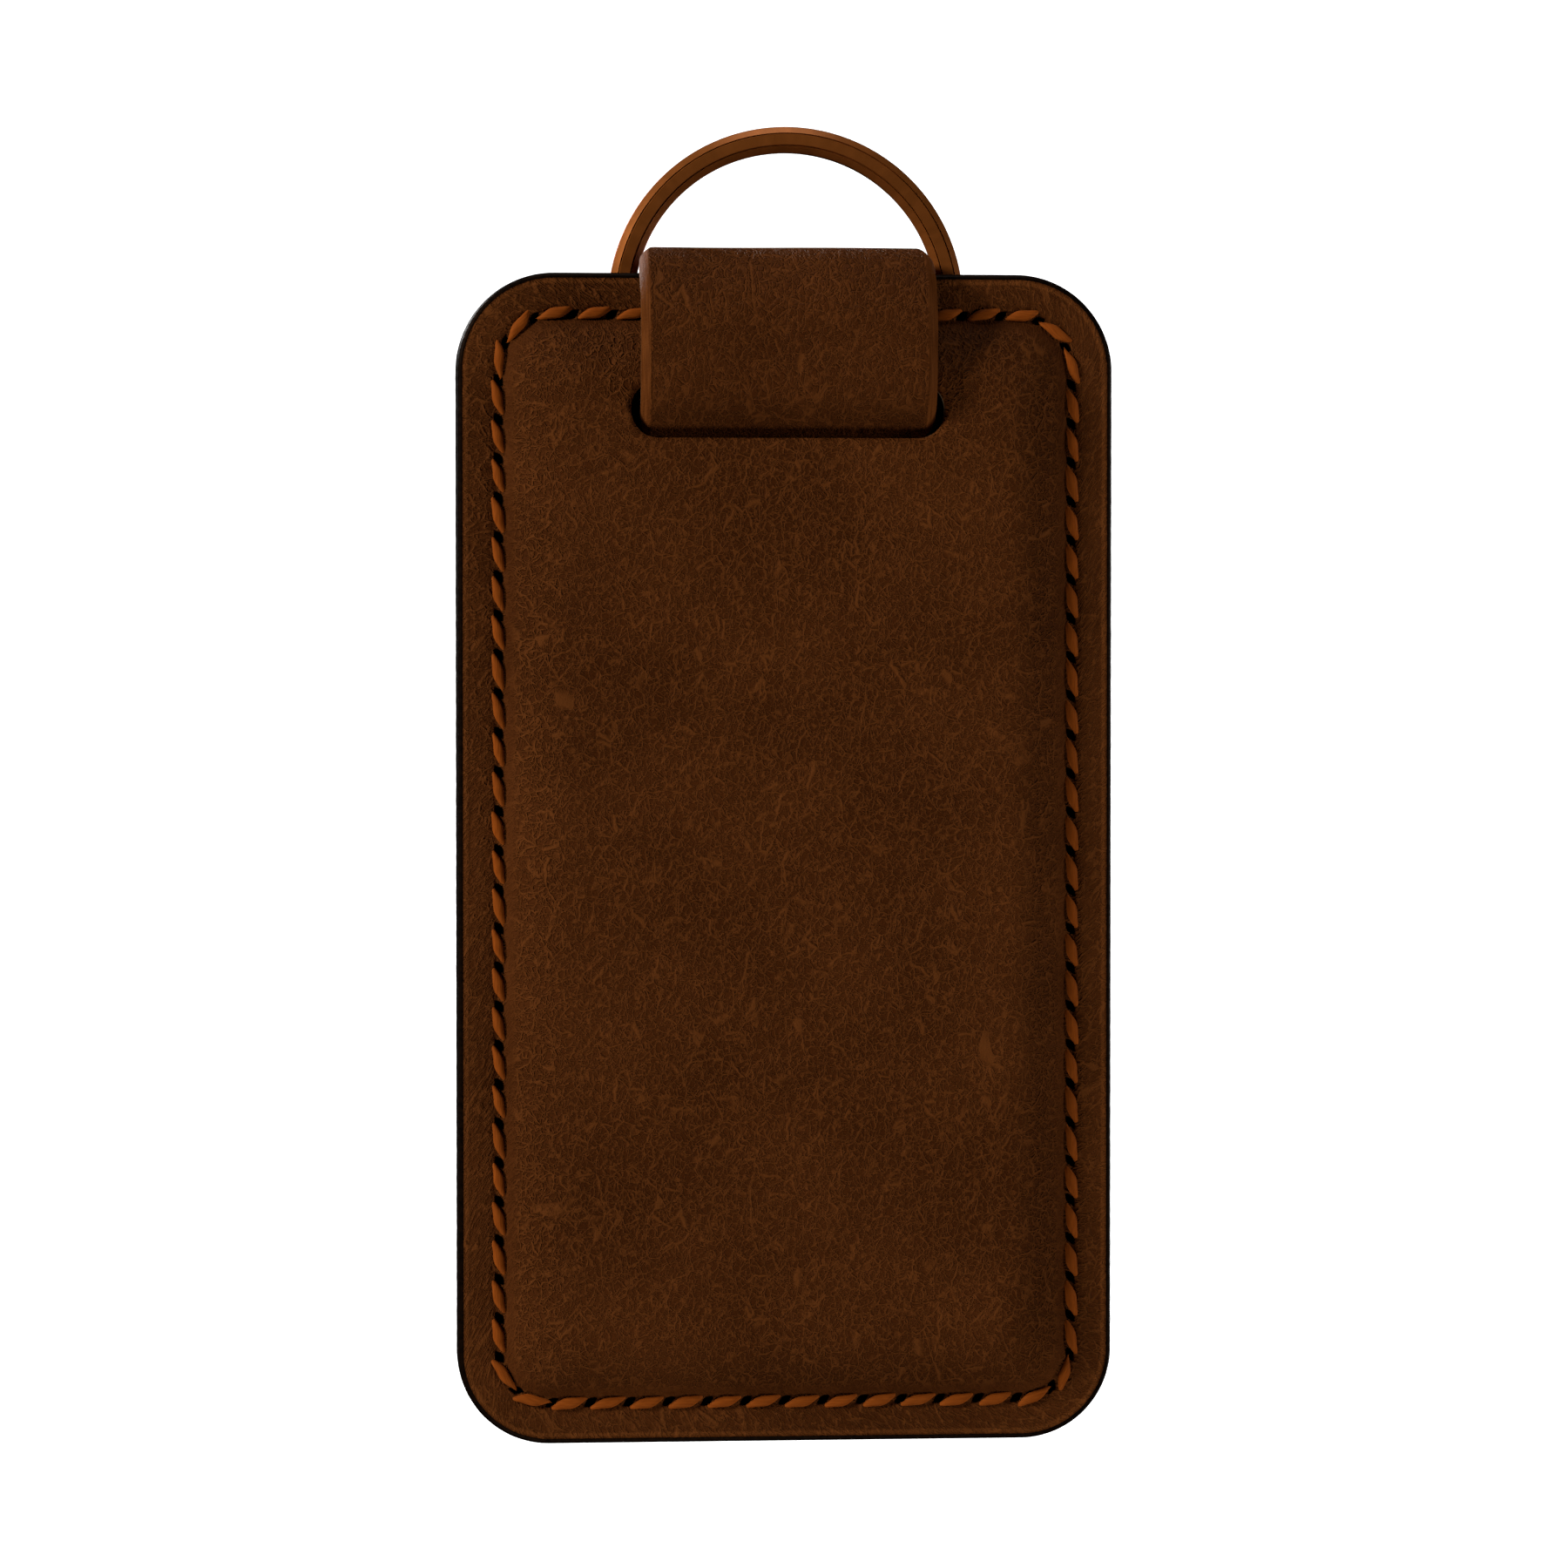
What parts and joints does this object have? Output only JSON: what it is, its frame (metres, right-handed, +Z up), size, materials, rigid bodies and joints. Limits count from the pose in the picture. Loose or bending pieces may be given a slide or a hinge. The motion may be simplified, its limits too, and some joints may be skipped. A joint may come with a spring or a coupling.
{
  "type": "business card case",
  "caption": "Slim upright leather business card case with a domed stitched front and a strap that leaves a slot, folds over the top through a D-ring and snaps over the card mouth behind.",
  "frame": {"origin": "top of the ring's inside, in the ring's middle plane, where a hook bears", "axes": "+X across the width, the domed front faces -Y, +Z up towards the ring"},
  "size_m": [0.065, 0.0162, 0.1305],
  "materials": {
    "case_leather": "semi-matte grained brown leather with dark painted edges",
    "strap_leather": "semi-matte grained brown leather",
    "strap_lining": "smooth brown leather with a cut edge",
    "edge_leather": "dark burnished edge",
    "board": "plain board",
    "lining_cloth": "fine woven brown lining",
    "thread": "waxed thread, lighter brown",
    "snap_metal": "satin antique brass",
    "ring_metal": "satin brown lacquer"
  },
  "bodies": {
    "case": {"front_leather": "case_leather", "front_stiffener": "board", "front_lining": "lining_cloth", "back_leather": "case_leather", "back_stiffener": "board", "back_lining": "lining_cloth", "seam_welt": "edge_leather", "seam_thread_front": "thread", "seam_thread_back": "thread", "mouth_thread": "thread", "strap_front_leather": "strap_leather", "strap_front_lining": "strap_lining", "snap_stud": "snap_metal", "snap_post": "snap_metal"},
    "tab": {"strap_tab_leather": "strap_leather", "strap_tab_lining": "strap_lining", "snap_cap": "snap_metal", "snap_socket": "snap_metal"},
    "ring": {"d_ring": "ring_metal"}
  },
  "joints": [
    {"name": "ring_swing", "type": "hinge", "parent": "case", "child": "ring", "pos_m": [0, 0, -0.0169], "axis": [-1, 0, 0], "range_deg": [0, 120]},
    {"name": "strap_tab", "type": "hinge", "parent": "case", "child": "tab", "pos_m": [0, 0.00365, -0.0189], "axis": [1, 0, 0], "range_deg": [0, 150]}
  ]
}
